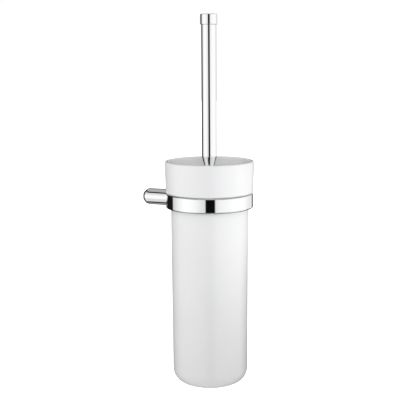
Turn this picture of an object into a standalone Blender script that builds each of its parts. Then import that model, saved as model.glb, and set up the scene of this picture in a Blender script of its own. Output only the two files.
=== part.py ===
"""Wall-mounted toilet brush holder: a ceramic pot in a chromed ring on a short arm, with its brush.

Metres, +Z up. The origin is the middle of the wall face, on the arm's axis. +Y points into the wall.
The pot, the ring and the brush share one vertical axis, POT_AXIS_Y in front of the wall.
"""

import math

import bpy
from mathutils import Matrix

# Driving dimensions
POT_AXIS_Y = -0.078  # the pot's axis, in front of the wall
GAP = 0.0003  # left between pieces that touch
ROUND_STEPS = 56  # facets round the pot and the ring
SMALL_STEPS = 28  # facets round the handle, the arm and the brush
SCREW_STEPS = 16

# Support ring
RING_R = 0.0473
RING_WALL = 0.0037
RING_HALF_HEIGHT = 0.0079
RING_EDGE = 0.0016
REBATE_R = 0.0450  # the seat of the liner's lip, in the ring's top
REBATE_DEPTH = 0.0012

# Liner between ring and pot
LINER_WALL = 0.0011
LINER_LIP = 0.0010

# Pot
RIM_Z = 0.0424
RIM_R = 0.0484
RIM_WALL = 0.0050
INNER_TAPER = 0.0012  # how much the collar narrows inside, from rim to step
STEP_ROUND = 0.0040  # inside, where the collar steps in to the body
STEP_LOW = 0.0020  # how far below the shoulder the inside starts to step out
STEP_HIGH = 0.0100  # how far above the shoulder its round edge is centred
COLLAR_R = 0.0470  # at the collar's lower edge
COLLAR_EDGE = 0.0015
BODY_TOP_R = 0.0418
BODY_LOW_R = 0.0408
BODY_WALL = 0.0048
FOOT_Z = -0.2022
FOOT_ROUND = 0.0150
FOOT_WIDTH = 0.0045
FOOT_RECESS = 0.0012
FLOOR_Z = -0.1967
FLOOR_ROUND = 0.0120

# Arm and its wall fixing
ARM_R = 0.0090
ARM_END_ROUND = 0.0065
ARM_BORE_R = 0.0058
ARM_BORE_DEPTH = 0.0160
ARM_OVERLAP = 0.0060  # how far its blank runs into the ring before it is cut back to it
BOSS_LENGTH = 0.0150
BOSS_HOLE_R = 0.0023
BOSS_SINK_R = 0.0044
GRUB_R = 0.0020
GRUB_Y = -0.0080
GRUB_GROOVE = 0.0008
GRUB_POINT = 0.0007  # its chamfered point
GRUB_SOCKET_R = 0.0010
GRUB_SOCKET_DEPTH = 0.0014
GRUB_RECESS = 0.0006  # how far its end lies inside the arm
GROOVE_FLANK = 0.0006  # how far the groove's slope reaches past the screw
RING_SCREW_R = 0.0020
RING_SCREW_HEAD_R = 0.0038
RING_SCREW_LENGTH = 0.0120
RING_SCREW_SEAT = 0.0006  # how far its head lies below the ring's inner wall
RING_SCREW_CHAMFER = 0.0004
RING_SOCKET_R = 0.0012
RING_SOCKET_DEPTH = 0.0016
SCREW_CLEARANCE = 0.0010  # past the screw's tip
CUT_OVER = 0.0020  # how far a cutter runs past the surface that it opens

# Handle
TUBE_R = 0.0080
TUBE_WALL = 0.0010
TUBE_LOW_Z = 0.0475
TUBE_TOP_Z = 0.1860
CAP_R = 0.0090
CAP_TOP_Z = 0.1970
CAP_EDGE = 0.0008
CAP_BORE_R = 0.0065
CAP_BORE_TOP_Z = 0.1934
PLUG_LENGTH = 0.0130
FERRULE_LOW_Z = 0.0371
FERRULE_LOW_R = 0.0053
INSERT_LENGTH = 0.0140
INSERT_CHAMFER = 0.0005
STEM_CHAMFER = 0.0005
STEM_SHORT = 0.0010  # how far the stem ends short of the insert's top
STEM_R = 0.0049
THREAD_R = 0.0030  # at the stem's upper end, M6

# Brush head
HEAD_TOP_Z = -0.0987
NECK_R = 0.0080
CORE_R = 0.0070
HEAD_THREAD_R = 0.0040  # at the stem's lower end, M8
HEAD_THREAD_LENGTH = 0.0120
WASHER_THICKNESS = 0.0010
WASHER_R = 0.0070
WASHER_EDGE = 0.0003
NECK_ROUND = 0.0010
NECK_FOOT = 0.0020  # the height in which the neck narrows to the core
ROWS = 8
ROW_PITCH = 0.0090
ROWS_TOP_Z = -0.1117
BRISTLE_R = 0.0330
ROW_ROOT = 0.0040  # a row's thickness where it leaves the core
ROW_FANNED_R = 0.0180  # where it has its whole thickness
ROW_EDGE = (0.0008, 0.0012)  # its outer edge's chamfer, across and down
TIP_ROUND = 0.0120

OBJECT_NAME = "toilet_brush_holder"


def clear_scene():
    for old in list(bpy.data.objects):
        bpy.data.objects.remove(old, do_unlink=True)


def new_collection(name):
    made = bpy.data.collections.new(name)
    bpy.context.scene.collection.children.link(made)
    return made


clear_scene()
PARTS = new_collection(OBJECT_NAME)
CUTTERS = new_collection("cutters")


def material(name, colour, roughness, metallic=0.0):
    made = bpy.data.materials.new(name)
    made.use_nodes = True
    shader = made.node_tree.nodes["Principled BSDF"]
    shader.inputs["Base Color"].default_value = (*colour, 1.0)
    shader.inputs["Roughness"].default_value = roughness
    shader.inputs["Metallic"].default_value = metallic
    return made


CHROME = ((0.80, 0.81, 0.82), 0.06, 1.0)
CERAMIC = ((0.86, 0.86, 0.87), 0.12, 0.0)
STEEL = ((0.55, 0.55, 0.56), 0.35, 1.0)
BRASS = ((0.72, 0.56, 0.30), 0.30, 1.0)
CLEAR_PLASTIC = ((0.70, 0.72, 0.73), 0.35, 0.0)
WHITE_PLASTIC = ((0.82, 0.82, 0.81), 0.40, 0.0)
DARK_RUBBER = ((0.05, 0.05, 0.05), 0.80, 0.0)
NYLON = ((0.88, 0.88, 0.87), 0.60, 0.0)


def arc(centre_r, centre_z, radius, start_deg, end_deg, steps=6):
    """Points of a round edge in a profile, from start_deg to end_deg. 0 points outwards, 90 up."""
    points = []
    for i in range(steps + 1):
        angle = math.radians(start_deg + (end_deg - start_deg) * i / steps)
        points.append((centre_r + radius * math.cos(angle), centre_z + radius * math.sin(angle)))
    return points


def turned(name, profile, look, steps=SMALL_STEPS, closed=False, matrix=None, cutter=False):
    """A turned solid from (radius, height) points, which run down its outer side.

    A closed profile makes a ring or a tube. An open one starts and ends on the axis.
    """
    mesh = bpy.data.meshes.new(name)
    count = len(profile)
    edges = [(i, i + 1) for i in range(count - 1)]
    if closed:
        edges.append((count - 1, 0))
    mesh.from_pydata([(r, 0.0, z) for r, z in profile], edges, [])
    made = bpy.data.objects.new(name, mesh)
    (CUTTERS if cutter else PARTS).objects.link(made)
    made.matrix_world = matrix or Matrix.Translation((0.0, POT_AXIS_Y, 0.0))
    screw = made.modifiers.new("turn", "SCREW")
    screw.axis = "Z"
    screw.steps = steps
    screw.render_steps = steps
    screw.use_merge_vertices = True
    screw.merge_threshold = 0.00001
    screw.use_smooth_shade = True
    if cutter:
        made.hide_render = True
        made.display_type = "WIRE"
    else:
        mesh.materials.append(material(name, *look))
    return made


def cut(target, cutter):
    boolean = target.modifiers.new("cut_" + cutter.name, "BOOLEAN")
    boolean.operation = "DIFFERENCE"
    boolean.object = cutter


def along_y(y):
    """Turns a profile's height into +Y, from the point (0, y, 0)."""
    return Matrix.Translation((0.0, y, 0.0)) @ Matrix.Rotation(math.radians(-90), 4, "X")


def support_ring():
    outer, inner = RING_R, RING_R - RING_WALL
    top, low = RING_HALF_HEIGHT, -RING_HALF_HEIGHT
    profile = [(REBATE_R, top - REBATE_DEPTH), (REBATE_R, top)]
    profile += arc(outer - RING_EDGE, top - RING_EDGE, RING_EDGE, 90, 0, 5)
    profile += arc(outer - RING_EDGE, low + RING_EDGE, RING_EDGE, 0, -90, 5)
    profile += [(inner, low), (inner, top - REBATE_DEPTH)]
    ring = turned("support_ring", profile, CHROME, ROUND_STEPS, closed=True)
    cut(ring, ring_screw_hole("ring_screw_hole"))
    return ring


def ring_screw_place():
    """Height 0 of the screw's profile is the ring's inner wall, and its tip points along +Y."""
    return along_y(POT_AXIS_Y + RING_R - RING_WALL)


def ring_screw():
    r, head_r, tip = RING_SCREW_R, RING_SCREW_HEAD_R, RING_SCREW_LENGTH
    seat = RING_SCREW_SEAT
    socket_end = seat + RING_SOCKET_DEPTH
    profile = [(0.0, tip), (r - RING_SCREW_CHAMFER, tip), (r, tip - RING_SCREW_CHAMFER)]
    profile += [(r, seat + head_r - r), (head_r, seat), (RING_SOCKET_R, seat)]
    profile += [(RING_SOCKET_R, socket_end), (0.0, socket_end)]
    return turned("ring_screw", profile, STEEL, SCREW_STEPS, matrix=ring_screw_place())


def ring_screw_hole(name):
    """The screw's hole, with its 45 degree countersink, a gap wider than the screw all round."""
    r, end = RING_SCREW_R + GAP, RING_SCREW_LENGTH + SCREW_CLEARANCE
    mouth_r = RING_SCREW_HEAD_R + RING_SCREW_SEAT + GAP * math.sqrt(2)
    profile = [(0.0, end), (r, end), (r, mouth_r - r), (mouth_r, 0.0), (mouth_r, -CUT_OVER), (0.0, -CUT_OVER)]
    return turned(name, profile, None, SCREW_STEPS, matrix=ring_screw_place(), cutter=True)


def ring_liner():
    outer = RING_R - RING_WALL - GAP
    inner = outer - LINER_WALL
    lip_low = RING_HALF_HEIGHT - REBATE_DEPTH + GAP
    lip_top = lip_low + LINER_LIP
    low = -RING_HALF_HEIGHT + GAP
    profile = [(inner, lip_top), (REBATE_R - GAP, lip_top), (REBATE_R - GAP, lip_low)]
    profile += [(outer, lip_low), (outer, low), (inner, low)]
    return turned("ring_liner", profile, CLEAR_PLASTIC, ROUND_STEPS, closed=True)


def pot():
    shoulder_z = RING_HALF_HEIGHT - REBATE_DEPTH + LINER_LIP + 2 * GAP
    lip = RIM_WALL / 2
    inner_rim_r = RIM_R - RIM_WALL
    inner_top_r = BODY_TOP_R - BODY_WALL
    inner_low_r = BODY_LOW_R - BODY_WALL
    foot_r = BODY_LOW_R - FOOT_ROUND
    foot_in = foot_r - FOOT_WIDTH
    recess_r = foot_in - FOOT_RECESS

    inside = [(0.0, FLOOR_Z)]
    inside += arc(inner_low_r - FLOOR_ROUND, FLOOR_Z + FLOOR_ROUND, FLOOR_ROUND, -90, 0, 6)
    inside += [(inner_top_r, shoulder_z - STEP_LOW)]
    inside += arc(inner_rim_r - INNER_TAPER - STEP_ROUND, shoulder_z + STEP_HIGH, STEP_ROUND, -60, 0, 3)
    over_lip = arc(RIM_R - lip, RIM_Z - lip, lip, 180, 0, 8)
    collar = arc(COLLAR_R - COLLAR_EDGE, shoulder_z + COLLAR_EDGE, COLLAR_EDGE, 0, -90, 4)
    outside = [(BODY_TOP_R, shoulder_z)]
    outside += arc(BODY_LOW_R - FOOT_ROUND, FOOT_Z + FOOT_ROUND, FOOT_ROUND, 0, -90, 8)
    under = [(foot_in, FOOT_Z), (recess_r, FOOT_Z + FOOT_RECESS), (0.0, FOOT_Z + FOOT_RECESS)]
    profile = inside + over_lip + collar + outside + under
    return turned("pot", profile, CERAMIC, ROUND_STEPS)


def arm():
    length = -POT_AXIS_Y - RING_R + ARM_OVERLAP
    mouth_deg = math.degrees(math.acos((ARM_BORE_R - ARM_R + ARM_END_ROUND) / ARM_END_ROUND))
    profile = [(0.0, -ARM_BORE_DEPTH), (ARM_BORE_R, -ARM_BORE_DEPTH)]
    profile += arc(ARM_R - ARM_END_ROUND, -ARM_END_ROUND, ARM_END_ROUND, mouth_deg, 0, 8)
    profile += [(ARM_R, -length), (0.0, -length)]
    made = turned("arm", profile, CHROME, SMALL_STEPS, matrix=along_y(0.0))
    cut(made, saddle_cutter())
    cut(made, ring_screw_hole("arm_screw_hole"))
    cut(made, grub_hole())
    return made


def saddle_cutter():
    reach = 2 * RING_HALF_HEIGHT
    profile = [(0.0, reach), (RING_R + GAP, reach), (RING_R + GAP, -reach), (0.0, -reach)]
    return turned("saddle", profile, None, 2 * ROUND_STEPS, cutter=True)


def grub_hole():
    place = Matrix.Translation((0.0, GRUB_Y, 0.0))
    r = GRUB_R + GAP
    profile = [(0.0, -ARM_BORE_R / 2), (r, -ARM_BORE_R / 2), (r, -2 * ARM_R), (0.0, -2 * ARM_R)]
    return turned("grub_hole", profile, None, SCREW_STEPS, matrix=place, cutter=True)


def grub_screw():
    top = -(ARM_BORE_R - GRUB_GROOVE)  # its point reaches into the boss's groove
    low = -ARM_R + GRUB_RECESS
    socket_end = low + GRUB_SOCKET_DEPTH
    profile = [(0.0, top), (GRUB_R - GRUB_POINT, top), (GRUB_R, top - GRUB_POINT), (GRUB_R, low)]
    profile += [(GRUB_SOCKET_R, low), (GRUB_SOCKET_R, socket_end), (0.0, socket_end)]
    place = Matrix.Translation((0.0, GRUB_Y, 0.0))
    return turned("grub_screw", profile, STEEL, SCREW_STEPS, matrix=place)


def wall_boss():
    outer = ARM_BORE_R - GAP
    groove = outer - GRUB_GROOVE
    sink = BOSS_SINK_R - BOSS_HOLE_R
    wide = GRUB_R + GROOVE_FLANK
    deep = wide - GRUB_GROOVE
    profile = [(BOSS_HOLE_R, 0.0), (outer, 0.0), (outer, GRUB_Y + wide), (groove, GRUB_Y + deep)]
    profile += [(groove, GRUB_Y - deep), (outer, GRUB_Y - wide), (outer, -BOSS_LENGTH)]
    profile += [(BOSS_SINK_R, -BOSS_LENGTH), (BOSS_HOLE_R, -BOSS_LENGTH + sink)]
    return turned("wall_boss", profile, STEEL, SMALL_STEPS, closed=True, matrix=along_y(0.0))


def handle_tube():
    inner = TUBE_R - TUBE_WALL
    profile = [(inner, TUBE_TOP_Z), (TUBE_R, TUBE_TOP_Z), (TUBE_R, TUBE_LOW_Z), (inner, TUBE_LOW_Z)]
    return turned("handle_tube", profile, CHROME, closed=True)


def handle_cap():
    low = TUBE_TOP_Z + GAP
    profile = [(0.0, CAP_TOP_Z)] + arc(CAP_R - CAP_EDGE, CAP_TOP_Z - CAP_EDGE, CAP_EDGE, 90, 0, 4)
    profile += [(CAP_R, low), (CAP_BORE_R, low), (CAP_BORE_R, CAP_BORE_TOP_Z), (0.0, CAP_BORE_TOP_Z)]
    return turned("handle_cap", profile, CHROME)


def cap_plug():
    step_z = TUBE_TOP_Z - GAP
    wide, narrow = TUBE_R - TUBE_WALL - GAP, CAP_BORE_R - GAP
    profile = [(0.0, CAP_BORE_TOP_Z - GAP), (narrow, CAP_BORE_TOP_Z - GAP), (narrow, step_z)]
    profile += [(wide, step_z), (wide, step_z - PLUG_LENGTH), (0.0, step_z - PLUG_LENGTH)]
    return turned("cap_plug", profile, WHITE_PLASTIC)


def ferrule():
    bore = THREAD_R + GAP
    top = TUBE_LOW_Z - GAP
    profile = [(bore, top), (TUBE_R, top), (FERRULE_LOW_R, FERRULE_LOW_Z), (bore, FERRULE_LOW_Z)]
    return turned("ferrule", profile, CHROME, closed=True)


def tube_insert():
    bore, outer = THREAD_R + GAP, TUBE_R - TUBE_WALL - GAP
    top, low = TUBE_LOW_Z + INSERT_LENGTH, TUBE_LOW_Z
    profile = [(bore, top), (outer - INSERT_CHAMFER, top), (outer, top - INSERT_CHAMFER)]
    profile += [(outer, low), (bore, low)]
    return turned("tube_insert", profile, BRASS, closed=True)


def stem():
    top = TUBE_LOW_Z + INSERT_LENGTH - STEM_SHORT
    shoulder = FERRULE_LOW_Z - GAP
    foot = HEAD_TOP_Z + WASHER_THICKNESS + 2 * GAP
    low = foot - HEAD_THREAD_LENGTH
    profile = [(0.0, top), (THREAD_R - STEM_CHAMFER, top), (THREAD_R, top - STEM_CHAMFER)]
    profile += [(THREAD_R, shoulder), (STEM_R, shoulder), (STEM_R, foot), (HEAD_THREAD_R, foot)]
    profile += [(HEAD_THREAD_R, low + STEM_CHAMFER), (HEAD_THREAD_R - STEM_CHAMFER, low), (0.0, low)]
    return turned("stem", profile, CHROME)


def seal_washer():
    bore, face = HEAD_THREAD_R + GAP, WASHER_R - WASHER_EDGE
    top, low = HEAD_TOP_Z + WASHER_THICKNESS + GAP, HEAD_TOP_Z + GAP
    profile = [(bore, top), (face, top), (WASHER_R, (top + low) / 2), (face, low), (bore, low)]
    return turned("seal_washer", profile, DARK_RUBBER, closed=True)


def head_core():
    hole = HEAD_THREAD_R + GAP
    hole_low = HEAD_TOP_Z - HEAD_THREAD_LENGTH
    low = ROWS_TOP_Z - ROWS * ROW_PITCH
    profile = [(0.0, hole_low), (hole, hole_low), (hole, HEAD_TOP_Z)]
    profile += arc(NECK_R - NECK_ROUND, HEAD_TOP_Z - NECK_ROUND, NECK_ROUND, 90, 0, 3)
    profile += [(NECK_R, ROWS_TOP_Z + NECK_FOOT), (CORE_R, ROWS_TOP_Z), (CORE_R, low), (0.0, low)]
    return turned("head_core", profile, WHITE_PLASTIC)


def bristle_row(index):
    """One ring of tufts, thin at the core and fanned out to the head's outside."""
    centre = ROWS_TOP_Z - ROW_PITCH * (index + 0.5)
    half = (ROW_PITCH - GAP) / 2
    root = ROW_ROOT / 2
    inner = CORE_R + GAP
    face, side = BRISTLE_R - ROW_EDGE[0], half - ROW_EDGE[1]
    profile = [(inner, centre + root), (ROW_FANNED_R, centre + half), (face, centre + half)]
    profile += [(BRISTLE_R, centre + side), (BRISTLE_R, centre - side)]
    profile += [(face, centre - half), (ROW_FANNED_R, centre - half), (inner, centre - root)]
    return turned(f"bristle_row_{index + 1}", profile, NYLON, closed=True)


def bristle_tip():
    top = ROWS_TOP_Z - ROWS * ROW_PITCH - GAP
    low = FLOOR_Z + GAP
    profile = [(0.0, top), (BRISTLE_R, top)]
    profile += arc(BRISTLE_R - TIP_ROUND, low + TIP_ROUND, TIP_ROUND, 0, -90, 6)
    profile += [(0.0, low)]
    return turned("bristle_tip", profile, NYLON)


def build():
    wall_boss()
    arm()
    grub_screw()
    ring_screw()
    support_ring()
    ring_liner()
    pot()
    handle_cap()
    cap_plug()
    handle_tube()
    tube_insert()
    ferrule()
    stem()
    seal_washer()
    head_core()
    for index in range(ROWS):
        bristle_row(index)
    bristle_tip()


build()
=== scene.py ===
"""The looks of a wall-mounted toilet brush holder: glazed pot, chromed ring, arm and handle, nylon brush.

Metres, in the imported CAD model's frame: +Y into the wall, +Z up. Each visible piece is made again with
finer edges than the CAD's facets, in the place and size that the CAD gives it.
"""

import math

import bmesh
import bpy
import numpy as np
from mathutils import Matrix, Vector


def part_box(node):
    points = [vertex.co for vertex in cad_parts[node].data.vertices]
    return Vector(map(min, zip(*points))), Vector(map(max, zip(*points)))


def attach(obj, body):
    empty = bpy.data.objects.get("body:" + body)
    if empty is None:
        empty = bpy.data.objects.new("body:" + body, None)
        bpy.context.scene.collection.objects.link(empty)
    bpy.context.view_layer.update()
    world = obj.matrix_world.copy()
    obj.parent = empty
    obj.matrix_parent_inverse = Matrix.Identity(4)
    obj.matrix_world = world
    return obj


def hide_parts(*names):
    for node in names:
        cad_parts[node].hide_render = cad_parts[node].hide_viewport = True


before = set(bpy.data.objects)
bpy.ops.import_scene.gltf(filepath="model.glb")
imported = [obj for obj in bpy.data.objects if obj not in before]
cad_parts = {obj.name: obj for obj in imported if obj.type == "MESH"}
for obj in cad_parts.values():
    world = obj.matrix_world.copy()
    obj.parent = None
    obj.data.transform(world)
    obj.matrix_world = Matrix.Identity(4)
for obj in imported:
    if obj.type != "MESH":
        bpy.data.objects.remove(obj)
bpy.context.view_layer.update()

MM = 0.001
FIT = 0.06 * MM  # left between pieces that are pressed or screwed together
ARC_STEP = math.radians(9)  # a round edge's facets
SHARP = math.radians(35)
ON_AXIS = 1e-7  # a profile point nearer the axis than this is one vertex on it
SAME = 1e-9  # radii closer than this are the same
BESIDE = 0.25  # how far beyond a fillet its flat gets a point, over the fillet's radius


# Sizes from the frame


def reach(node):
    """A node's radius across X, and its lowest and highest Z."""
    low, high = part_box(node)
    return (high.x - low.x) / 2, low.z, high.z


pot_low, pot_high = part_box("pot")
AXIS = Matrix.Translation((0.0, (pot_low.y + pot_high.y) / 2, 0.0))
AXIS_Y = AXIS.translation.y
RIM_R, FOOT_Z, RIM_Z = reach("pot")
RING_R, RING_LOW, RING_TOP = reach("support_ring")
LINER_R, LINER_LOW, LINER_TOP = reach("ring_liner")
TUBE_R, TUBE_LOW, TUBE_TOP = reach("handle_tube")
CAP_R, CAP_LOW, CAP_TOP = reach("handle_cap")
FERRULE_LOW, FERRULE_TOP = reach("ferrule")[1:]
STEM_R, STEM_LOW, STEM_TOP = reach("stem")
WASHER_R, WASHER_LOW, WASHER_TOP = reach("seal_washer")
CORE_NECK_R, CORE_LOW, CORE_TOP = reach("head_core")
BRISTLE_R, TIP_LOW, TIP_TOP = reach("bristle_tip")
ARM_R = reach("arm")[0]
BOSS_R = reach("wall_boss")[0]
BOSS_END_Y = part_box("wall_boss")[0].y


# Shapes


def rounded(corners):
    """A profile through (radius, height, fillet) corners: each fillet is an arc, with a point beside it on
    each flat that keeps the flat's shading flat. The profile runs down a solid's outer side."""
    points = []
    for i, (r, h, fillet) in enumerate(corners):
        here = complex(r, h)
        if fillet <= 0:
            points.append(here)
            continue
        before = complex(*corners[i - 1][:2]) - here
        after = complex(*corners[(i + 1) % len(corners)][:2]) - here
        a, b = before / abs(before), after / abs(after)
        half = abs(math.atan2((b / a).imag, (b / a).real)) / 2
        tangent = fillet / math.tan(half)
        centre = here + (a + b) / abs(a + b) * fillet / math.sin(half)
        start, end = here + a * tangent - centre, here + b * tangent - centre
        turn = math.atan2((end / start).imag, (end / start).real)
        steps = max(3, math.ceil(abs(turn) / ARC_STEP))
        beside = [min(BESIDE * fillet, (abs(side) - tangent) / 3) for side in (before, after)]
        points.append(here + a * (tangent + beside[0]))
        for k in range(steps + 1):
            angle = turn * k / steps
            points.append(centre + start * complex(math.cos(angle), math.sin(angle)))
        points.append(here + b * (tangent + beside[1]))
    return [(p.real, p.imag) for p in points]


def along(start, end, count):
    """Points between two profile points, without them."""
    return [
        (start[0] + (end[0] - start[0]) * k / count, start[1] + (end[1] - start[1]) * k / count)
        for k in range(1, count)
    ]


def turned_mesh(name, profile, closed=False, steps=96, place=AXIS, radius=None, height=None):
    """A turned mesh. radius(i, r, h, angle) and height(i, r, h, angle) can change a point's own."""
    vertices, rings = [], []
    for i, (r, h) in enumerate(profile):
        if r < ON_AXIS:
            rings.append([len(vertices)] * steps)
            vertices.append(place @ Vector((0.0, 0.0, h)))
            continue
        rings.append(list(range(len(vertices), len(vertices) + steps)))
        for k in range(steps):
            angle = 2 * math.pi * k / steps
            own_r = radius(i, r, h, angle) if radius else r
            own_h = height(i, r, h, angle) if height else h
            vertices.append(place @ Vector((own_r * math.cos(angle), own_r * math.sin(angle), own_h)))
    faces = []
    pairs = list(zip(rings, rings[1:])) + ([(rings[-1], rings[0])] if closed else [])
    for upper, lower in pairs:
        for k in range(steps):
            following = (k + 1) % steps
            face = [upper[k], lower[k], lower[following], upper[following]]
            faces.append(list(dict.fromkeys(face)))
    mesh = bpy.data.meshes.new(name)
    mesh.from_pydata(vertices, [], faces)
    mesh.validate()
    return mesh


def piece(name, mesh, body, material, nodes=()):
    """Makes a piece of a mesh: smooth with sharp corners, riding on a body, standing for CAD nodes."""
    mesh.shade_smooth()
    mesh.set_sharp_from_angle(angle=SHARP)
    for one in material if isinstance(material, (list, tuple)) else [material]:
        mesh.materials.append(one)
    made = bpy.data.objects.new(name, mesh)
    bpy.context.scene.collection.objects.link(made)
    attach(made, body)
    if nodes:
        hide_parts(*nodes)
    return made


def cut_mesh(mesh, cutters):
    """The mesh with each cutter mesh taken out of it."""
    target = bpy.data.objects.new("cut_target", mesh)
    bpy.context.scene.collection.objects.link(target)
    tools = []
    for cutter in cutters:
        tool = bpy.data.objects.new("cut_tool", cutter)
        bpy.context.scene.collection.objects.link(tool)
        tools.append(tool)
        boolean = target.modifiers.new("cut", "BOOLEAN")
        boolean.object = tool
    bpy.context.view_layer.update()
    evaluated = target.evaluated_get(bpy.context.evaluated_depsgraph_get())
    cut = bpy.data.meshes.new_from_object(evaluated)
    for used in [target, *tools]:
        bpy.data.objects.remove(used, do_unlink=True)
    return cut


def along_y(y):
    """Turns a profile's height into +Y, from the point (0, y, 0)."""
    return Matrix.Translation((0.0, y, 0.0)) @ Matrix.Rotation(math.radians(-90), 4, "X")


def hexagonal(sockets, across_flats_r):
    """A radius function that makes the rings at these profile places hexagonal."""

    def radius(i, r, h, angle):
        if i not in sockets:
            return r
        side = (angle + math.pi / 6) % (math.pi / 3) - math.pi / 6
        return across_flats_r / math.cos(side)

    return radius


# Materials

NOISE_LOW, NOISE_HIGH = 0.3, 0.7  # where most of a noise's values lie
MOULDED_GRAIN = 1800.0


def shader_material(name, colour, roughness, metallic=0.0, **sockets):
    made = bpy.data.materials.new(name)
    made.use_nodes = True
    shader = made.node_tree.nodes["Principled BSDF"]
    shader.inputs["Base Color"].default_value = (*colour, 1.0)
    shader.inputs["Roughness"].default_value = roughness
    shader.inputs["Metallic"].default_value = metallic
    for socket, value in sockets.items():
        shader.inputs[socket.replace("_", " ")].default_value = value
    return made, made.node_tree, shader


def noise(tree, scale, detail=2.0, stretch=(1.0, 1.0, 1.0)):
    """Noise in the row frame's metres: scale is in features per metre."""
    coordinates = tree.nodes.new("ShaderNodeTexCoord")
    mapping = tree.nodes.new("ShaderNodeMapping")
    mapping.inputs["Scale"].default_value = stretch
    made = tree.nodes.new("ShaderNodeTexNoise")
    made.inputs["Scale"].default_value = scale
    made.inputs["Detail"].default_value = detail
    tree.links.new(coordinates.outputs["Object"], mapping.inputs["Vector"])
    tree.links.new(mapping.outputs["Vector"], made.inputs["Vector"])
    return made.outputs["Fac"]


def between(tree, factor, low, high):
    """A number from low to high, as factor goes over the middle of a noise's range."""
    made = tree.nodes.new("ShaderNodeMapRange")
    made.inputs["From Min"].default_value = NOISE_LOW
    made.inputs["From Max"].default_value = NOISE_HIGH
    made.inputs["To Min"].default_value = low
    made.inputs["To Max"].default_value = high
    tree.links.new(factor, made.inputs["Value"])
    return made.outputs["Result"]


def mixed(tree, factor, one, other):
    made = tree.nodes.new("ShaderNodeMix")
    made.data_type = "RGBA"
    made.inputs["A"].default_value = (*one, 1.0)
    made.inputs["B"].default_value = (*other, 1.0)
    tree.links.new(between(tree, factor, 0.0, 1.0), made.inputs["Factor"])
    return made.outputs["Result"]


def bump(tree, shader, height, depth, strength):
    """Raises the surface by up to depth, in metres, where height is 1."""
    made = tree.nodes.new("ShaderNodeBump")
    made.inputs["Strength"].default_value = strength
    made.inputs["Distance"].default_value = depth
    tree.links.new(height, made.inputs["Height"])
    tree.links.new(made.outputs["Normal"], shader.inputs["Normal"])


def chrome():
    """Polished plate: almost flat, with faint polishing haze."""
    made, tree, shader = shader_material("chrome_plate", (0.93, 0.935, 0.94), 0.03, 1.0)
    haze = noise(tree, 140.0, 4.0, (1.0, 1.0, 0.25))
    tree.links.new(between(tree, haze, 0.012, 0.03), shader.inputs["Roughness"])
    tint = mixed(tree, noise(tree, 35.0), (0.925, 0.932, 0.94), (0.94, 0.942, 0.945))
    tree.links.new(tint, shader.inputs["Base Color"])
    bump(tree, shader, noise(tree, 60.0, 1.0), 0.02 * MM, 0.12)
    return made


def glaze():
    """White gloss glaze: a soft unevenness in its surface and a slight change of depth."""
    made, tree, shader = shader_material("white_glaze", (0.87, 0.872, 0.88), 0.2)
    tint = mixed(tree, noise(tree, 22.0, 3.0), (0.872, 0.875, 0.886), (0.895, 0.896, 0.9))
    tree.links.new(tint, shader.inputs["Base Color"])
    tree.links.new(between(tree, noise(tree, 90.0, 4.0), 0.16, 0.24), shader.inputs["Roughness"])
    bump(tree, shader, noise(tree, 110.0, 2.0), 0.10 * MM, 0.35)
    return made


def bisque():
    """The bare clay of the foot, where the pot stood in the kiln."""
    made, tree, shader = shader_material("bare_clay", (0.80, 0.76, 0.70), 0.85)
    tint = mixed(tree, noise(tree, 900.0, 6.0), (0.74, 0.70, 0.64), (0.84, 0.81, 0.76))
    tree.links.new(tint, shader.inputs["Base Color"])
    bump(tree, shader, noise(tree, 2500.0, 6.0), 0.08 * MM, 0.7)
    return made


def moulded(name, one, other, roughness):
    """Moulded plastic or rubber, with a fine moulded grain."""
    made, tree, shader = shader_material(name, one, roughness)
    tree.links.new(mixed(tree, noise(tree, 60.0, 3.0), one, other), shader.inputs["Base Color"])
    patchy = between(tree, noise(tree, 300.0, 3.0), 0.85 * roughness, 1.15 * roughness)
    tree.links.new(patchy, shader.inputs["Roughness"])
    bump(tree, shader, noise(tree, MOULDED_GRAIN, 2.0), 0.02 * MM, 0.5)
    return made


def nylon():
    """Bristle nylon: off-white, a little see-through, and never two filaments quite alike."""
    made, tree, shader = shader_material("bristle_nylon", (0.95, 0.95, 0.94), 0.32, Subsurface_Weight=0.4)
    shader.inputs["Subsurface Radius"].default_value = (1 * MM, 1 * MM, 0.9 * MM)
    tint = mixed(tree, noise(tree, 1200.0, 2.0, (1.0, 1.0, 2.0)), (0.93, 0.93, 0.91), (0.98, 0.98, 0.975))
    tree.links.new(tint, shader.inputs["Base Color"])
    return made


def lathed(name, one, other, roughness, stretch):
    """Machined metal, with the fine rings that a lathe leaves along its axis."""
    made, tree, shader = shader_material(name, one, roughness, 1.0)
    rings = noise(tree, 400.0, 5.0, stretch)
    tree.links.new(mixed(tree, rings, one, other), shader.inputs["Base Color"])
    tree.links.new(between(tree, rings, 0.8 * roughness, 1.3 * roughness), shader.inputs["Roughness"])
    bump(tree, shader, rings, 0.02 * MM, 0.5)
    return made


CHROME = chrome()
GLAZE = glaze()
BARE_CLAY = bisque()
MILKY = moulded("milky_plastic", (0.62, 0.64, 0.65), (0.70, 0.72, 0.73), 0.35)
WHITE_PLASTIC = moulded("white_plastic", (0.84, 0.84, 0.83), (0.88, 0.88, 0.87), 0.38)
RUBBER = moulded("black_rubber", (0.03, 0.03, 0.03), (0.05, 0.05, 0.05), 0.7)
NYLON = nylon()
ACROSS_Y, ACROSS_Z = (0.05, 8.0, 0.05), (0.05, 0.05, 8.0)
BRASS = lathed("turned_brass", (0.76, 0.58, 0.31), (0.83, 0.66, 0.38), 0.28, ACROSS_Z)
STEEL = lathed("stainless_steel", (0.52, 0.52, 0.53), (0.62, 0.62, 0.63), 0.3, ACROSS_Y)


# Pot

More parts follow.
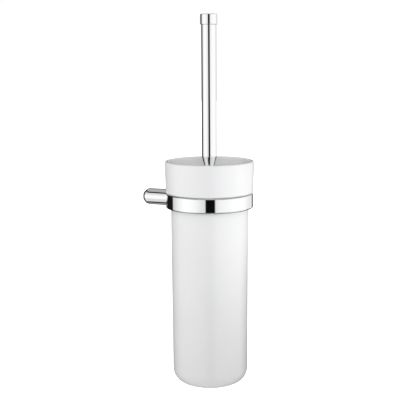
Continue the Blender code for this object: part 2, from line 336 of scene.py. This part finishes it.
SHOULDER_Z = LINER_TOP + 0.3 * MM
POT_WALL = 5.0 * MM
COLLAR_FOOT_R = RIM_R - 1.4 * MM
BODY_TOP_R = 41.8 * MM
BODY_LOW_R = 40.8 * MM
BODY_WALL = 4.8 * MM
FLOOR_Z = FOOT_Z + 5.5 * MM
FOOT_ROUND = 15.0 * MM
FOOT_WIDTH = 4.5 * MM
FOOT_RECESS = 1.2 * MM
BARE_UP, BARE_OUT = 0.15 * MM, 1.0 * MM  # how far the bare clay goes up and out from the foot's flat


def pot():
    foot_r = BODY_LOW_R - FOOT_ROUND
    recess_r = foot_r - FOOT_WIDTH - FOOT_RECESS
    inner_top = BODY_TOP_R - BODY_WALL
    inner_rim = RIM_R - POT_WALL
    corners = [
        (0.0, FLOOR_Z, 0.0),
        (BODY_LOW_R - BODY_WALL, FLOOR_Z, 12.0 * MM),
        (inner_top, SHOULDER_Z - 1.0 * MM, 6.0 * MM),
        (inner_rim - 1.4 * MM, SHOULDER_Z + 9.0 * MM, 6.0 * MM),
        (inner_rim, RIM_Z, 2.3 * MM),
        (RIM_R, RIM_Z, 2.4 * MM),
        (COLLAR_FOOT_R, SHOULDER_Z, 1.5 * MM),
        (BODY_TOP_R, SHOULDER_Z, 0.3 * MM),
        (BODY_LOW_R, FOOT_Z, FOOT_ROUND),
        (foot_r - FOOT_WIDTH, FOOT_Z, 0.4 * MM),
        (recess_r, FOOT_Z + FOOT_RECESS, 0.4 * MM),
        (0.0, FOOT_Z + FOOT_RECESS, 0.0),
    ]
    mesh = turned_mesh("glazed_pot", rounded(corners), steps=160)
    made = piece("glazed_pot", mesh, "pot", [GLAZE, BARE_CLAY], ["pot"])
    for face in mesh.polygons:
        across = math.hypot(face.center.x, face.center.y - AXIS_Y)
        if face.center.z < FOOT_Z + BARE_UP and recess_r < across < foot_r + BARE_OUT:
            face.material_index = 1
    made.visible_glossy = False


# Ring, liner and their screw

RING_WALL = 3.7 * MM
RING_EDGE = 1.6 * MM
REBATE_R = LINER_R + 0.3 * MM
REBATE_Z = RING_TOP - 1.2 * MM
RING_SCREW_R = 2.0 * MM
RING_SCREW_HEAD_R = 3.8 * MM
RING_SCREW_SEAT = 0.6 * MM
RING_SCREW_LENGTH = 12.0 * MM
RING_HOLE_R = RING_SCREW_R + 0.1 * MM
RING_HOLE_END = RING_SCREW_LENGTH + 1.0 * MM
LINER_LIP, LINER_WALL, LINER_GAP = 1.0 * MM, 1.2 * MM, 0.2 * MM
RING_SCREW_PLACE = along_y(AXIS_Y + RING_R - RING_WALL)


def ring_screw_hole():
    r, mouth = RING_HOLE_R, RING_SCREW_HEAD_R + RING_SCREW_SEAT + 0.2 * MM
    end, start = RING_HOLE_END, -2.0 * MM
    profile = [(0.0, end), (r, end), (r, mouth - r), (mouth, 0.0), (mouth, start), (0.0, start)]
    return turned_mesh("screw_hole", profile, steps=48, place=RING_SCREW_PLACE)


def ring():
    inner = RING_R - RING_WALL
    corners = [
        (REBATE_R, REBATE_Z, 0.0),
        (REBATE_R, RING_TOP, 0.3 * MM),
        (RING_R, RING_TOP, RING_EDGE),
        (RING_R, RING_LOW, RING_EDGE),
        (inner, RING_LOW, 0.4 * MM),
        (inner, REBATE_Z, 0.2 * MM),
    ]
    mesh = turned_mesh("ring_band", rounded(corners), closed=True, steps=192)
    mesh = cut_mesh(mesh, [ring_screw_hole()])
    piece("ring_band", mesh, "holder", CHROME, ["support_ring"])


def ring_screw():
    r, head, seat, tip = RING_SCREW_R, RING_SCREW_HEAD_R, RING_SCREW_SEAT, RING_SCREW_LENGTH
    socket_r, socket_end, chamfer = 1.25 * MM, seat + 1.6 * MM, 0.4 * MM
    head_end = seat + head - r
    profile = [(0.0, tip), (r - chamfer, tip), (r, tip - chamfer)]
    profile += along(profile[-1], (r, head_end), 60)
    profile += [(r, head_end), (head, seat)]
    inside = len(profile)
    profile += [(socket_r, seat), (socket_r, socket_end), (0.0, socket_end)]
    shape = hexagonal({inside, inside + 1}, socket_r)
    plain = 1.5 * MM
    threaded = thread_radius(head_end + plain, tip, pitch=0.7 * MM, depth=0.38 * MM, outer=r, otherwise=shape)
    mesh = turned_mesh("countersunk_screw", profile, steps=48, place=RING_SCREW_PLACE, radius=threaded)
    piece("countersunk_screw", mesh, "holder", STEEL, ["ring_screw"])


def thread_radius(low, high, pitch, depth, outer, otherwise=None):
    """A radius function that cuts a right-hand thread into a rod between two heights."""

    def radius(i, r, h, angle):
        if abs(r - outer) > SAME or not low <= h <= high:
            return otherwise(i, r, h, angle) if otherwise else r
        fade = min(1.0, (h - low) / pitch, (high - h) / pitch)
        turn = (h / pitch - angle / (2 * math.pi)) % 1.0
        flank = min(1.0, max(0.0, 1.4 * (1 - abs(2 * turn - 1)) - 0.2))
        return r - depth * flank * fade

    return radius


def liner():
    lip_low = LINER_TOP - LINER_LIP
    outer = RING_R - RING_WALL - LINER_GAP
    inner = outer - LINER_WALL
    corners = [
        (inner, LINER_TOP, 0.3 * MM),
        (LINER_R, LINER_TOP, 0.3 * MM),
        (LINER_R, lip_low, 0.15 * MM),
        (outer, lip_low, 0.0),
        (outer, LINER_LOW, 0.3 * MM),
        (inner, LINER_LOW, 0.3 * MM),
    ]
    mesh = turned_mesh("plastic_sleeve", rounded(corners), closed=True, steps=144)
    piece("plastic_sleeve", mesh, "liner", MILKY, ["ring_liner"])


# Arm and its wall fixing

ARM_BORE_R = BOSS_R + 0.15 * MM
ARM_BORE_END = BOSS_END_Y - 0.5 * MM
ARM_END_ROUND = 6.5 * MM
GRUB_Y = -8.0 * MM
GRUB_R = 2.0 * MM
GRUB_HOLE_R = GRUB_R + 0.12 * MM
GRUB_HOLE_TOP, GRUB_HOLE_LOW = -3.0 * MM, -2 * ARM_R  # from inside the arm's bore to well under the arm
ARM_END_FACETS = 14
# From the post's side inward to its screw hole, where the saddle's vertices lie
SADDLE_RADII = [ARM_R, ARM_R - 0.2 * MM, 7.0 * MM, 5.0 * MM, 3.5 * MM, RING_HOLE_R]


def arm():
    """The post, from its rounded wall end to the saddle that lies against the ring."""
    inward = ARM_BORE_R - ARM_R + ARM_END_ROUND
    mouth = math.sqrt(ARM_END_ROUND**2 - inward**2) - ARM_END_ROUND
    profile = [(0.0, ARM_BORE_END), (ARM_BORE_R, ARM_BORE_END), (ARM_BORE_R, mouth)]
    start = math.acos(inward / ARM_END_ROUND)
    for k in range(1, ARM_END_FACETS + 1):
        angle = start * (1 - k / ARM_END_FACETS)
        profile.append(
            (ARM_R - ARM_END_ROUND * (1 - math.cos(angle)), ARM_END_ROUND * (math.sin(angle) - 1))
        )
    profile += along((ARM_R, -ARM_END_ROUND), (ARM_R, AXIS_Y + RING_R), 12)
    saddle_from = len(profile)
    profile += [(r, 0.0) for r in SADDLE_RADII]
    saddle_to = len(profile)
    screw_end = RING_SCREW_PLACE.translation.y + RING_HOLE_END
    profile += [(RING_HOLE_R, screw_end), (0.0, screw_end)]

    def saddle(i, r, h, angle):
        if not saddle_from <= i < saddle_to:
            return h
        return AXIS_Y + math.sqrt((RING_R + FIT) ** 2 - (r * math.cos(angle)) ** 2)

    mesh = turned_mesh("arm_post", profile, place=along_y(0.0), height=saddle)
    r, top, low = GRUB_HOLE_R, GRUB_HOLE_TOP, GRUB_HOLE_LOW
    hole = [(0.0, top), (r, top), (r, low), (0.0, low)]
    cutter = turned_mesh("grub_hole", hole, steps=48, place=Matrix.Translation((0.0, GRUB_Y, 0.0)))
    mesh = cut_mesh(mesh, [cutter])
    piece("arm_post", mesh, "holder", CHROME, ["arm"])


def grub_screw():
    top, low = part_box("grub_screw")[1].z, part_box("grub_screw")[0].z
    socket_r, socket_depth = 1.0 * MM, 1.4 * MM
    cone, chamfer = 0.7 * MM, 0.15 * MM
    profile = [(0.0, top), (GRUB_R - cone, top), (GRUB_R, top - cone)]
    profile += along((GRUB_R, top - cone), (GRUB_R, low), 30)
    profile += [(GRUB_R, low + chamfer), (GRUB_R - chamfer, low)]
    inside = len(profile)
    profile += [(socket_r, low), (socket_r, low + socket_depth), (0.0, low + socket_depth)]
    shape = hexagonal({inside, inside + 1}, socket_r)
    threaded = thread_radius(
        low + 0.2 * MM, top - cone, pitch=0.5 * MM, depth=0.25 * MM, outer=GRUB_R, otherwise=shape
    )
    place = Matrix.Translation((0.0, GRUB_Y, 0.0))
    mesh = turned_mesh("set_screw", profile, steps=48, place=place, radius=threaded)
    piece("set_screw", mesh, "holder", STEEL, ["grub_screw"])


def boss():
    hole, sink = 2.3 * MM, 4.4 * MM
    groove, groove_half, groove_mouth = BOSS_R - 0.8 * MM, 1.8 * MM, 2.6 * MM
    corners = [
        (hole, 0.0, 0.2 * MM),
        (BOSS_R, 0.0, 0.3 * MM),
        (BOSS_R, GRUB_Y + groove_mouth, 0.0),
        (groove, GRUB_Y + groove_half, 0.2 * MM),
        (groove, GRUB_Y - groove_half, 0.2 * MM),
        (BOSS_R, GRUB_Y - groove_mouth, 0.0),
        (BOSS_R, BOSS_END_Y, 0.5 * MM),
        (sink, BOSS_END_Y, 0.1 * MM),
        (hole, BOSS_END_Y + sink - hole, 0.0),
    ]
    mesh = turned_mesh("fixing_boss", rounded(corners), closed=True, place=along_y(0.0))
    piece("fixing_boss", mesh, "holder", STEEL, ["wall_boss"])


# Handle

TUBE_WALL = 1.0 * MM
CAP_BORE_R = 6.5 * MM
CAP_BORE_TOP = CAP_TOP - 3.6 * MM
UPPER_THREAD_R = 3.0 * MM
LOWER_THREAD_R = 4.0 * MM
FERRULE_END_R = 5.3 * MM
LOWER_PITCH = 1.25 * MM
UPPER_PITCH = 1.0 * MM


def handle():
    inner = TUBE_R - TUBE_WALL
    corners = [
        (inner, TUBE_TOP, 0.2 * MM),
        (TUBE_R, TUBE_TOP, 0.15 * MM),
        (TUBE_R, TUBE_LOW - 0.12 * MM, 0.08 * MM),
        (inner, TUBE_LOW, 0.2 * MM),
    ]
    mesh = turned_mesh("tube", rounded(corners), closed=True, steps=128)
    piece("tube", mesh, "handle", CHROME, ["handle_tube"])

    low = CAP_LOW - 0.15 * MM
    corners = [
        (0.0, CAP_TOP, 0.0),
        (CAP_R, CAP_TOP, 0.9 * MM),
        (CAP_R, low, 0.35 * MM),
        (CAP_BORE_R, low, 0.2 * MM),
        (CAP_BORE_R, CAP_BORE_TOP, 0.0),
        (0.0, CAP_BORE_TOP, 0.0),
    ]
    mesh = turned_mesh("end_cap", rounded(corners), steps=128)
    piece("end_cap", mesh, "handle", CHROME, ["handle_cap"])

    bore = UPPER_THREAD_R + 0.1 * MM
    corners = [
        (bore, FERRULE_TOP + 0.1 * MM, 0.0),
        (TUBE_R, FERRULE_TOP + 0.1 * MM, 0.08 * MM),
        (TUBE_R, FERRULE_TOP - 0.3 * MM, 0.9 * MM),
        (FERRULE_END_R, FERRULE_LOW, 0.25 * MM),
        (bore, FERRULE_LOW, 0.0),
    ]
    mesh = turned_mesh("cone", rounded(corners), closed=True, steps=128)
    piece("cone", mesh, "handle", CHROME, ["ferrule"])


def stem():
    shoulder = FERRULE_LOW - 0.1 * MM
    foot = WASHER_TOP + 0.1 * MM
    chamfer = 0.5 * MM
    upper_r, lower_r = UPPER_THREAD_R, LOWER_THREAD_R
    profile = [(0.0, STEM_TOP), (upper_r - chamfer, STEM_TOP), (upper_r, STEM_TOP - chamfer)]
    profile += along(profile[-1], (upper_r, shoulder), 180)
    corners = [
        (upper_r, shoulder, 0.0),
        (STEM_R, shoulder, 0.4 * MM),
        (STEM_R, foot, 0.4 * MM),
        (lower_r, foot, 0.0),
    ]
    profile += rounded(corners)
    profile += along((lower_r, foot), (lower_r, STEM_LOW + chamfer), 110)
    profile += [(lower_r, STEM_LOW + chamfer), (lower_r - chamfer, STEM_LOW), (0.0, STEM_LOW)]
    lower = thread_radius(STEM_LOW, foot - 0.8 * MM, LOWER_PITCH, depth=0.7 * MM, outer=lower_r)
    both = thread_radius(
        shoulder + 8 * MM, STEM_TOP, UPPER_PITCH, depth=0.55 * MM, outer=upper_r, otherwise=lower
    )
    mesh = turned_mesh("stem_rod", profile, steps=72, radius=both)
    piece("stem_rod", mesh, "handle", CHROME, ["stem"])


def washer():
    bore = LOWER_THREAD_R + 0.15 * MM
    edge = (WASHER_TOP - WASHER_LOW) * 0.45
    corners = [
        (bore, WASHER_TOP, 0.2 * MM),
        (WASHER_R, WASHER_TOP, edge),
        (WASHER_R, WASHER_LOW, edge),
        (bore, WASHER_LOW, 0.2 * MM),
    ]
    mesh = turned_mesh("rubber_washer", rounded(corners), closed=True)
    piece("rubber_washer", mesh, "washer", RUBBER, ["seal_washer"])


# Brush head

CORE_R = 7.0 * MM
HEAD_HOLE_R = LOWER_THREAD_R + 0.25 * MM
HEAD_HOLE_LOW = CORE_TOP - 12.0 * MM
TUFTS = 20
FILAMENTS = 34
FILAMENT_R = 0.17 * MM
TUFT_R = 1.1 * MM
TIP_ROUND = 12.0 * MM
ROOT_DEPTH = 0.8 * MM  # how far the filaments stand in the core
ROW_MARGIN = 0.25 * MM  # left free above and below a row's tufts
TUFT_FAN = 0.80  # how wide a tuft opens, over its share of the circle
TUFT_RISE = 0.9  # how high it opens, over the row's height without its margins
STRAY_ANGLE, STRAY_Z, STRAY_R = 0.02, 0.3 * MM, 0.35 * MM  # how far single filament ends stray
ROW_BOW, TIP_BOW = 0.35 * MM, 0.15 * MM
ROW_SEED, TIP_SEED = 11, 5
# The tip's tufts: how many, the radius of their roots, and their lean from straight down in degrees
TIP_CIRCLES = [(1, 0.0, 0.0), (7, 2.6 * MM, 38.0), (12, 4.6 * MM, 60.0), (20, 6.0 * MM, 78.0)]
TIP_OFFSET = 0.3  # how far the first tuft is turned, over the step between tufts
TIP_FAN = 0.9
TIP_SPREAD, TIP_LEAN_MOST = 13.0, 86.0  # degrees
TIP_STRAY = 0.015  # how much shorter filaments are than the outline, over their length


def core():
    rows_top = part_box("bristle_row_1")[1].z
    corners = [
        (0.0, HEAD_HOLE_LOW, 0.0),
        (HEAD_HOLE_R, HEAD_HOLE_LOW, 0.0),
        (HEAD_HOLE_R, CORE_TOP, 0.4 * MM),
        (CORE_NECK_R, CORE_TOP, 1.0 * MM),
        (CORE_NECK_R, rows_top + 2.0 * MM, 1.0 * MM),
        (CORE_R, rows_top, 1.0 * MM),
        (CORE_R, CORE_LOW, 1.0 * MM),
        (0.0, CORE_LOW, 0.0),
    ]
    mesh = turned_mesh("brush_core", rounded(corners))
    piece("brush_core", mesh, "brush_head", WHITE_PLASTIC, ["head_core"])


def filament_mesh(name, roots, tips, bow):
    """Three-sided filaments from roots to tips (N by 3), each bowed sideways by its own bow."""
    shares = np.array([0.0, 0.35, 0.7, 1.0])
    line = roots[:, None, :] + (tips - roots)[:, None, :] * shares[None, :, None]
    line += bow[:, None, :] * (shares * (1 - shares) * 4)[None, :, None]
    forward = tips - roots
    forward /= np.linalg.norm(forward, axis=1, keepdims=True)
    steep = np.abs(forward[:, 2:3]) > 0.9
    helper = np.where(steep, [[1.0, 0.0, 0.0]], [[0.0, 0.0, 1.0]])
    side = np.cross(forward, helper)
    side /= np.linalg.norm(side, axis=1, keepdims=True)
    up = np.cross(side, forward)
    count, levels, sides = len(roots), len(shares), 3
    corners = []
    for k in range(sides):
        angle = 2 * math.pi * k / sides
        offset = (side * math.cos(angle) + up * math.sin(angle)) * FILAMENT_R
        corners.append(line + offset[:, None, :])
    points = np.stack(corners, axis=2).reshape(-1, 3)
    faces = []
    for n in range(count):
        base = n * levels * sides
        for level in range(levels - 1):
            low, high = base + level * sides, base + (level + 1) * sides
            for k in range(sides):
                j = (k + 1) % sides
                faces.append((low + j, low + k, high + k, high + j))
        faces.append((base, base + 1, base + 2))
        end = base + (levels - 1) * sides
        faces.append((end + 2, end + 1, end))
    mesh = bpy.data.meshes.new(name)
    mesh.from_pydata(points.tolist(), [], faces)
    flip_if_inside_out(mesh)
    return mesh


def flip_if_inside_out(mesh):
    shape = bmesh.new()
    shape.from_mesh(mesh)
    if shape.calc_volume(signed=True) < 0:
        bmesh.ops.reverse_faces(shape, faces=shape.faces)
    shape.to_mesh(mesh)
    shape.free()


def disc_points(count, radius, rng):
    """Points spread evenly over a disc, as a bundle of filaments packs."""
    k = np.arange(count) + 0.5
    r = radius * np.sqrt(k / count)
    angle = k * math.pi * (3 - math.sqrt(5)) + rng.uniform(0, 2 * math.pi)
    return r * np.cos(angle), r * np.sin(angle)


def bristle_row(index):
    """A ring of tufts. Each tuft's roots sink into the core, and the tuft fans out to the row's edge."""
    node = f"bristle_row_{index + 1}"
    low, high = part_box(node)
    centre_z, half = (low.z + high.z) / 2, (high.z - low.z) / 2 - ROW_MARGIN
    rng = np.random.default_rng(ROW_SEED + index)
    roots, tips = [], []
    for t in range(TUFTS):
        turn = 2 * math.pi * (t + 0.5 * (index % 2)) / TUFTS
        across, up = disc_points(FILAMENTS, 1.0, rng)
        root_angle = turn + across * TUFT_R / CORE_R
        fan = TUFT_FAN * math.pi / TUFTS
        tip_angle = turn + across * fan + rng.normal(0, STRAY_ANGLE, FILAMENTS)
        root_z = centre_z + up * TUFT_R
        tip_z = centre_z + up * TUFT_RISE * half + rng.normal(0, STRAY_Z, FILAMENTS)
        tip_z = np.clip(tip_z, low.z + FILAMENT_R, high.z - FILAMENT_R)
        tip_r = BRISTLE_R - FILAMENT_R - np.abs(rng.normal(0, STRAY_R, FILAMENTS))
        root_r = CORE_R - ROOT_DEPTH
        roots.append(np.stack([root_r * np.cos(root_angle), root_r * np.sin(root_angle), root_z], 1))
        tips.append(np.stack([tip_r * np.cos(tip_angle), tip_r * np.sin(tip_angle), tip_z], 1))
    roots, tips = np.concatenate(roots), np.concatenate(tips)
    bow = rng.normal(0, ROW_BOW, roots.shape)
    bow[:, 2] *= 0.5  # a row's filaments bow less up and down
    shift = np.array([0.0, AXIS_Y, 0.0])
    mesh = filament_mesh(f"tufts_{index + 1}", roots + shift, tips + shift, bow)
    piece(f"tufts_{index + 1}", mesh, "brush_head", NYLON, [node])


def inside_tip(r, z):
    """Whether a point lies in the tip's outline, with its rounded lower edge."""
    edge_r, edge_z = BRISTLE_R - TIP_ROUND, TIP_LOW + TIP_ROUND
    if r <= edge_r or z >= edge_z:
        return r <= BRISTLE_R - FILAMENT_R and z >= TIP_LOW + FILAMENT_R
    return math.hypot(r - edge_r, z - edge_z) <= TIP_ROUND - FILAMENT_R


def bristle_tip():
    """Tufts under the core's end, fanned from straight down to almost level."""
    rng = np.random.default_rng(TIP_SEED)
    roots, tips = [], []
    for tufts, root_r, lean in TIP_CIRCLES:
        for t in range(tufts):
            turn = 2 * math.pi * (t + TIP_OFFSET) / tufts
            for across, up in zip(*disc_points(FILAMENTS, 1.0, rng)):
                angle = turn + across * TIP_FAN * math.pi / max(tufts, 7)
                own = math.radians(min(TIP_LEAN_MOST, abs(lean + up * TIP_SPREAD)))
                start_r = max(0.0, root_r + up * TUFT_R * 0.5)
                length = 1.2 * BRISTLE_R
                while not inside_tip(start_r + length * math.sin(own), TIP_TOP - length * math.cos(own)):
                    length *= 0.97
                length *= 1 - abs(rng.normal(0, TIP_STRAY))
                end_r, end_z = start_r + length * math.sin(own), TIP_TOP - length * math.cos(own)
                root_z = TIP_TOP + ROOT_DEPTH
                roots.append((start_r * math.cos(angle), start_r * math.sin(angle), root_z))
                tips.append((end_r * math.cos(angle), end_r * math.sin(angle), end_z))
    shift = np.array([0.0, AXIS_Y, 0.0])
    roots, tips = np.array(roots) + shift, np.array(tips) + shift
    mesh = filament_mesh("tufts_tip", roots, tips, rng.normal(0, TIP_BOW, roots.shape))
    piece("tufts_tip", mesh, "brush_head", NYLON, ["bristle_tip"])


KEPT = [("tube_insert", BRASS, "brass"), ("cap_plug", WHITE_PLASTIC, "white_plastic")]


def kept_nodes():
    """CAD nodes that stay as they are, with a better material."""
    for node, material, slot in KEPT:
        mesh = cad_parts[node].data
        mesh.materials.clear()
        mesh.materials.append(material)


# Studio. Angles are in degrees; azimuth 0 is -Y and 90 is +X.

CAMERA_AZIMUTH = -66.0
CAMERA_PITCH = 8.9
CAMERA_DISTANCE = 1.015
CAMERA_ROLL = -0.37
CAMERA_LENS = 84.6
AIM_ASIDE = 10.3 * MM  # the pot's axis stands this far right of the picture's middle
AIM_UP = -0.3 * MM
FLOOR_LEVEL = -0.50
FLOOR_RADIUS = 12.0
FLOOR_GLOW = 0.9
WHITE = (1.0, 1.0, 1.0, 1.0)
BACKGROUND = 1.02  # the strength of the white that the camera sees


def toward(azimuth, elevation):
    """The unit vector at an azimuth and an elevation."""
    turn, lift = math.radians(azimuth), math.radians(elevation)
    return Vector((math.sin(turn) * math.cos(lift), -math.cos(turn) * math.cos(lift), math.sin(lift)))


def camera():
    back = toward(CAMERA_AZIMUTH, CAMERA_PITCH)
    azimuth = math.radians(CAMERA_AZIMUTH)
    right = Vector((math.cos(azimuth), math.sin(azimuth), 0.0))
    aim = AXIS.translation - right * AIM_ASIDE + Vector((0.0, 0.0, AIM_UP))
    data = bpy.data.cameras.new("camera")
    data.lens = CAMERA_LENS
    made = bpy.data.objects.new("camera", data)
    made.rotation_mode = "QUATERNION"
    made.location = aim + back * CAMERA_DISTANCE
    level = (-back).to_track_quat("-Z", "Y")
    roll = Matrix.Rotation(math.radians(CAMERA_ROLL), 3, "Z").to_quaternion()
    made.rotation_quaternion = level @ roll
    bpy.context.scene.collection.objects.link(made)
    bpy.context.scene.camera = made


# The white tent round the object, as (degrees from the camera's side, brightness). Positive is to the
# camera's right. The black stops are the gaps between its panels, which draw the dark lines in the chrome.
TENT = [
    (-180, 0.34), (-151, 0.34), (-148, 0.01), (-113, 0.01), (-110, 0.66), (-90, 0.92), (-67, 1.12),
    (-40, 1.0), (-12.5, 0.76), (-10, 0.004), (12.5, 0.004), (15, 0.80), (26, 0.94), (60, 1.06), (100, 1.06),
    (130, 0.85), (143, 0.9), (146, 0.16), (160, 0.22), (163, 0.9), (172, 0.6), (180, 0.34),
]
# The table and the ceiling, in units of their distance below and above the object
TABLE_HALF, CEILING_HALF = 0.44, 0.62  # half their widths
LID_DEPTH = 1.05  # half the depth of both
GAP = 1.36  # the side panels start at this share of the table's or the ceiling's half width
SOFT_EDGE = 0.06  # how softly all of these end
TABLE_GLOW, CEILING_GLOW = 0.31, 0.44
HORIZON = 0.4  # the table's width and glow turn into the ceiling's from minus to plus this sine of elevation
# The panels fade between these two sines of elevation, up or down, to this share of their brightness
FADE_FROM, FADE_TO, FADE_SHARE = 0.17, 0.62, 0.68
# A dark opening under the lens: its middle in degrees, the sine of elevation where it closes, the sine from
# which down it is full, its half width there and its soft edge in degrees, and the share of light left in it
WEDGE_MIDDLE, WEDGE_TOP, WEDGE_LOW, WEDGE_HALF, WEDGE_SOFT, WEDGE_SHARE = -11.0, -0.45, -0.65, 18.0, 3.0, 0.02
# Behind this angle and under this sine of elevation the panels are dimmed to a share
CORNER_FROM, CORNER_TOP, CORNER_SHARE = 112.0, -0.19, 0.12
CORNER_SOFT_TURN, CORNER_SOFT_TOP = 8.0, 0.03
# What diffuse rays see of the world: from right and left, from behind and in front, from above and below
SOFT_LIGHT = ((0.36, 0.56), (0.6, 0.44), (0.46, 0.60))


def tent():
    """The world: white to the camera, panels and gaps to glossy rays, and a soft grey-white to the rest."""
    world = bpy.data.worlds.new("tent")
    bpy.context.scene.world = world
    world.use_nodes = True
    tree = world.node_tree
    nodes, links = tree.nodes, tree.links
    nodes.clear()

    def math_node(operation, *values):
        made = nodes.new("ShaderNodeMath")
        made.operation = operation
        for socket, value in zip(made.inputs, values):
            if isinstance(value, (int, float)):
                socket.default_value = value
            else:
                links.new(value, socket)
        return made.outputs[0]

    def step(value, low, high, at_low, at_high):
        made = nodes.new("ShaderNodeMapRange")
        made.interpolation_type = "SMOOTHSTEP"
        for name, number in zip(("From Min", "From Max", "To Min", "To Max"), (low, high, at_low, at_high)):
            made.inputs[name].default_value = number
        links.new(value, made.inputs["Value"])
        return made.outputs["Result"]

    def glow(colour, strength=1.0):
        made = nodes.new("ShaderNodeBackground")
        made.inputs["Strength"].default_value = strength
        if isinstance(colour, tuple):
            made.inputs["Color"].default_value = colour
        else:
            links.new(colour, made.inputs["Color"])
        return made.outputs[0]

    def switch(factor, one, other):
        made = nodes.new("ShaderNodeMixShader")
        links.new(factor, made.inputs[0])
        links.new(one, made.inputs[1])
        links.new(other, made.inputs[2])
        return made.outputs[0]

    direction = nodes.new("ShaderNodeTexCoord").outputs["Generated"]
    turned = nodes.new("ShaderNodeVectorRotate")
    turned.rotation_type = "Z_AXIS"
    turned.inputs["Angle"].default_value = math.radians(-CAMERA_AZIMUTH)
    links.new(direction, turned.inputs["Vector"])
    parts = nodes.new("ShaderNodeSeparateXYZ")
    links.new(turned.outputs["Vector"], parts.inputs["Vector"])
    x, y, z = parts.outputs

    side = math_node("ARCTAN2", x, math_node("MULTIPLY", y, -1.0))
    around = math_node("ADD", math_node("DIVIDE", side, 2 * math.pi), 0.5)
    ramp = nodes.new("ShaderNodeValToRGB")
    stops = ramp.color_ramp.elements
    while len(stops) > 1:
        stops.remove(stops[-1])
    for k, (degrees, bright) in enumerate(TENT):
        stop = stops[0] if k == 0 else stops.new(degrees / 360 + 0.5)
        stop.position = degrees / 360 + 0.5
        stop.color = (bright, bright, bright, 1.0)
    links.new(around, ramp.inputs["Fac"])

    height = math_node("ABSOLUTE", z)
    across = math_node("DIVIDE", math_node("ABSOLUTE", x), height)
    deep = math_node("DIVIDE", math_node("ABSOLUTE", y), height)
    outward = math_node("DIVIDE", across, step(z, -HORIZON, HORIZON, TABLE_HALF, CEILING_HALF))
    beyond = step(deep, LID_DEPTH, LID_DEPTH + SOFT_EDGE, 0.0, 1.0)
    past_gap = step(outward, GAP, GAP + SOFT_EDGE, 0.0, 1.0)
    offset = math_node("ABSOLUTE", math_node("SUBTRACT", side, math.radians(WEDGE_MIDDLE)))
    width = step(z, WEDGE_LOW, WEDGE_TOP, math.radians(WEDGE_HALF), math.radians(-WEDGE_SOFT))
    opening = step(math_node("SUBTRACT", offset, width), 0.0, math.radians(WEDGE_SOFT), WEDGE_SHARE, 1.0)
    corner_edge = (math.radians(CORNER_FROM), math.radians(CORNER_FROM + CORNER_SOFT_TURN))
    behind = step(math_node("ABSOLUTE", side), *corner_edge, 0.0, 1.0 - CORNER_SHARE)
    under = step(z, CORNER_TOP - CORNER_SOFT_TOP, CORNER_TOP, 1.0, 0.0)
    lit_corner = math_node("SUBTRACT", 1.0, math_node("MULTIPLY", behind, under))
    panels = ramp.outputs["Color"]
    for share in (
        step(height, FADE_FROM, FADE_TO, 1.0, FADE_SHARE),
        opening,
        lit_corner,
        math_node("MAXIMUM", beyond, past_gap),
    ):
        panels = math_node("MULTIPLY", panels, share)
    lid = step(z, -HORIZON, HORIZON, TABLE_GLOW, CEILING_GLOW)
    lid = math_node("MULTIPLY", lid, step(outward, 1.0 - SOFT_EDGE, 1.0, 1.0, 0.0))
    ends = math_node("MULTIPLY", lid, math_node("SUBTRACT", 1.0, beyond))
    reflected = math_node("ADD", panels, ends)
    soft = 0.0
    for part, (forward, backward) in zip((x, y, z), SOFT_LIGHT):
        soft = math_node("ADD", soft, math_node("MULTIPLY", math_node("MAXIMUM", part, 0.0), forward))
        soft = math_node("SUBTRACT", soft, math_node("MULTIPLY", math_node("MINIMUM", part, 0.0), backward))

    path = nodes.new("ShaderNodeLightPath")
    lit = switch(path.outputs["Is Glossy Ray"], glow(soft), glow(reflected))
    seen = switch(path.outputs["Is Camera Ray"], lit, glow(WHITE, BACKGROUND))
    output = nodes.new("ShaderNodeOutputWorld")
    links.new(seen, output.inputs["Surface"])


# Each softbox: degrees from the camera's side, degrees up, distance, size, spread in degrees, and watts
SOFTBOXES = [
    (75.0, 0.0, 0.50, 0.15, 50.0, 0.075),
    (0.0, 20.0, 0.50, 0.30, 60.0, 0.077),
    (-80.0, 0.0, 0.50, 0.15, 60.0, 0.035),
]


def softbox(name, azimuth, elevation, distance, size, spread, power):
    """A square lamp that faces the pot's collar. Azimuth 0 is the camera's side, positive to its right."""
    out = toward(CAMERA_AZIMUTH + azimuth, elevation)
    data = bpy.data.lights.new(name, "AREA")
    data.energy = power
    data.size = size
    data.spread = math.radians(spread)
    made = bpy.data.objects.new(name, data)
    made.rotation_mode = "QUATERNION"
    made.location = AXIS.translation + out * distance
    made.rotation_quaternion = (-out).to_track_quat("-Z", "Y")
    made.visible_glossy = False
    bpy.context.scene.collection.objects.link(made)


def studio():
    bpy.context.scene.view_settings.view_transform = "Standard"
    tent()
    for number, lamp in enumerate(SOFTBOXES, 1):
        softbox(f"softbox_{number}", *lamp)

    made, tree, shader = shader_material("pale_floor", (0.92, 0.92, 0.92), 0.6)
    tint = mixed(tree, noise(tree, 3.0, 2.0), (0.915, 0.915, 0.915), (0.93, 0.93, 0.93))
    tree.links.new(tint, shader.inputs["Base Color"])
    shader.inputs["Emission Color"].default_value = WHITE
    shader.inputs["Emission Strength"].default_value = FLOOR_GLOW
    bpy.ops.mesh.primitive_circle_add(
        vertices=96, radius=FLOOR_RADIUS, fill_type="NGON", location=(0, 0, FLOOR_LEVEL)
    )
    floor = bpy.context.object
    floor.name = "floor"
    floor.data.materials.append(made)
    floor.visible_glossy = False
    floor.visible_diffuse = False


pot()
ring()
ring_screw()
liner()
arm()
grub_screw()
boss()
handle()
stem()
washer()
core()
for row in range(sum(name.startswith("bristle_row_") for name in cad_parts)):
    bristle_row(row)
bristle_tip()
kept_nodes()
camera()
studio()
